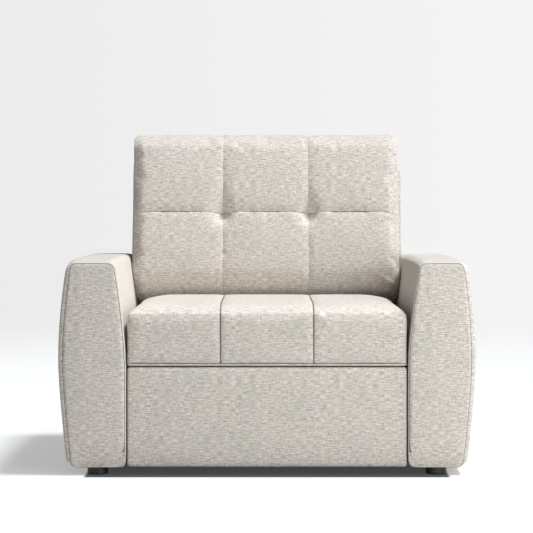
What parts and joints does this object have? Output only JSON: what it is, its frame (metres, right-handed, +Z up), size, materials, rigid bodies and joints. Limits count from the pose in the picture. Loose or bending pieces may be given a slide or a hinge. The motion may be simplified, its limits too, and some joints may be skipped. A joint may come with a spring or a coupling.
{
  "type": "convertible chair bed",
  "caption": "Upholstered armchair that unfolds into a single bed: bowed slab arms, seamed seat block, plain front panel, loose tufted back cushion and low round feet.",
  "frame": {"origin": "centre of the overall box at floor level", "axes": "+X to the viewer's right facing the chair, -Y to the front where the bed unfolds, +Z up"},
  "size_m": [1.1646, 0.99, 0.972],
  "materials": {
    "upholstery": "plain weave, matt",
    "mattress_cover": "quilted ticking, matt",
    "webbing": "elastic webbing, matt",
    "black_plastic": "moulded, satin",
    "plywood": "bare plywood",
    "hardwood": "planed, unfinished",
    "slat_wood": "planed, sealed",
    "frame_steel": "powder coat, satin",
    "zinc_steel": "zinc plated",
    "grey_rubber": "matt"
  },
  "bodies": {
    "chair": {"arm_cover_left": "upholstery", "arm_cover_right": "upholstery", "arm_frame_left": "hardwood", "arm_frame_right": "hardwood", "arm_base_board_left": "plywood", "arm_base_board_right": "plywood", "foot_front_left": "black_plastic", "foot_front_right": "black_plastic", "foot_rear_left": "black_plastic", "foot_rear_right": "black_plastic", "foot_bolts": "zinc_steel", "side_rail_left": "hardwood", "side_rail_right": "hardwood", "rail_bolts": "zinc_steel", "front_cross_rail": "hardwood", "rear_cross_rail": "hardwood", "rest_bumpers": "grey_rubber", "mechanism_plate_left": "zinc_steel", "mechanism_plate_right": "zinc_steel", "back_side_panel_left": "plywood", "back_side_panel_right": "plywood", "back_top_rail": "hardwood", "back_mid_rail": "hardwood", "back_ledge_rail": "hardwood", "back_webbing": "webbing", "back_cover": "upholstery"},
    "front_links": {"front_link_left": "frame_steel", "front_link_right": "frame_steel", "front_link_cross_tube": "frame_steel"},
    "rear_links": {"rear_link_left": "frame_steel", "rear_link_right": "frame_steel", "rear_link_cross_tube": "frame_steel"},
    "head_section": {"head_side_tubes": "frame_steel", "head_cross_tubes": "frame_steel", "head_slats": "slat_wood", "head_mattress": "mattress_cover", "link_hangers": "frame_steel", "link_pins": "zinc_steel", "head_hinge_plates": "frame_steel", "head_hinge_pins": "zinc_steel"},
    "middle_section": {"middle_side_tubes": "frame_steel", "middle_cross_tubes": "frame_steel", "middle_slats": "slat_wood", "middle_mattress": "mattress_cover", "middle_hinge_plates": "frame_steel", "seat_hinge_pins": "zinc_steel", "leg_brackets": "frame_steel", "leg_pins": "zinc_steel"},
    "seat_section": {"seat_deck": "plywood", "seat_cushion": "upholstery", "seat_hinge_brackets": "frame_steel", "front_board": "plywood", "front_panel": "upholstery", "corner_brackets": "frame_steel", "floor_glides": "black_plastic"},
    "support_legs": {"support_leg_left": "frame_steel", "support_leg_right": "frame_steel", "leg_caps": "grey_rubber"},
    "back_cushion_body": {"back_cushion": "upholstery"}
  },
  "joints": [
    {"name": "front_link_swing", "type": "hinge", "parent": "chair", "child": "front_links", "pos_m": [0, -0.375, 0.046], "axis": [1, 0, 0], "range_deg": [0, 90]},
    {"name": "head_section_level", "type": "hinge", "parent": "front_links", "child": "head_section", "pos_m": [0, -0.095, 0.046], "axis": [1, 0, 0], "range_deg": [-90, 0]},
    {"name": "bed_fold", "type": "hinge", "parent": "head_section", "child": "middle_section", "pos_m": [0, -0.445, 0.18], "axis": [1, 0, 0], "range_deg": [0, 180]},
    {"name": "seat_section_level", "type": "hinge", "parent": "middle_section", "child": "seat_section", "pos_m": [0, 0.126, 0.33], "axis": [1, 0, 0], "range_deg": [-180, 0]},
    {"name": "support_leg_fold", "type": "hinge", "parent": "middle_section", "child": "support_legs", "pos_m": [0, 0.105, 0.24], "axis": [1, 0, 0], "range_deg": [-90, 0]},
    {"name": "rear_link_swing", "type": "hinge", "parent": "chair", "child": "rear_links", "pos_m": [0, -0.045, 0.046], "axis": [1, 0, 0], "range_deg": [0, 90]},
    {"name": "back_cushion_lift", "type": "slide", "parent": "chair", "child": "back_cushion_body", "axis": [0, 0, 1], "range_m": [0, 0.3]}
  ],
  "couplings": [
    {"joint": "front_link_swing", "follows": "bed_fold", "ratio": 0.5},
    {"joint": "head_section_level", "follows": "bed_fold", "ratio": -0.5},
    {"joint": "seat_section_level", "follows": "bed_fold", "ratio": -1},
    {"joint": "support_leg_fold", "follows": "bed_fold", "ratio": -0.5},
    {"joint": "rear_link_swing", "follows": "bed_fold", "ratio": 0.5}
  ]
}
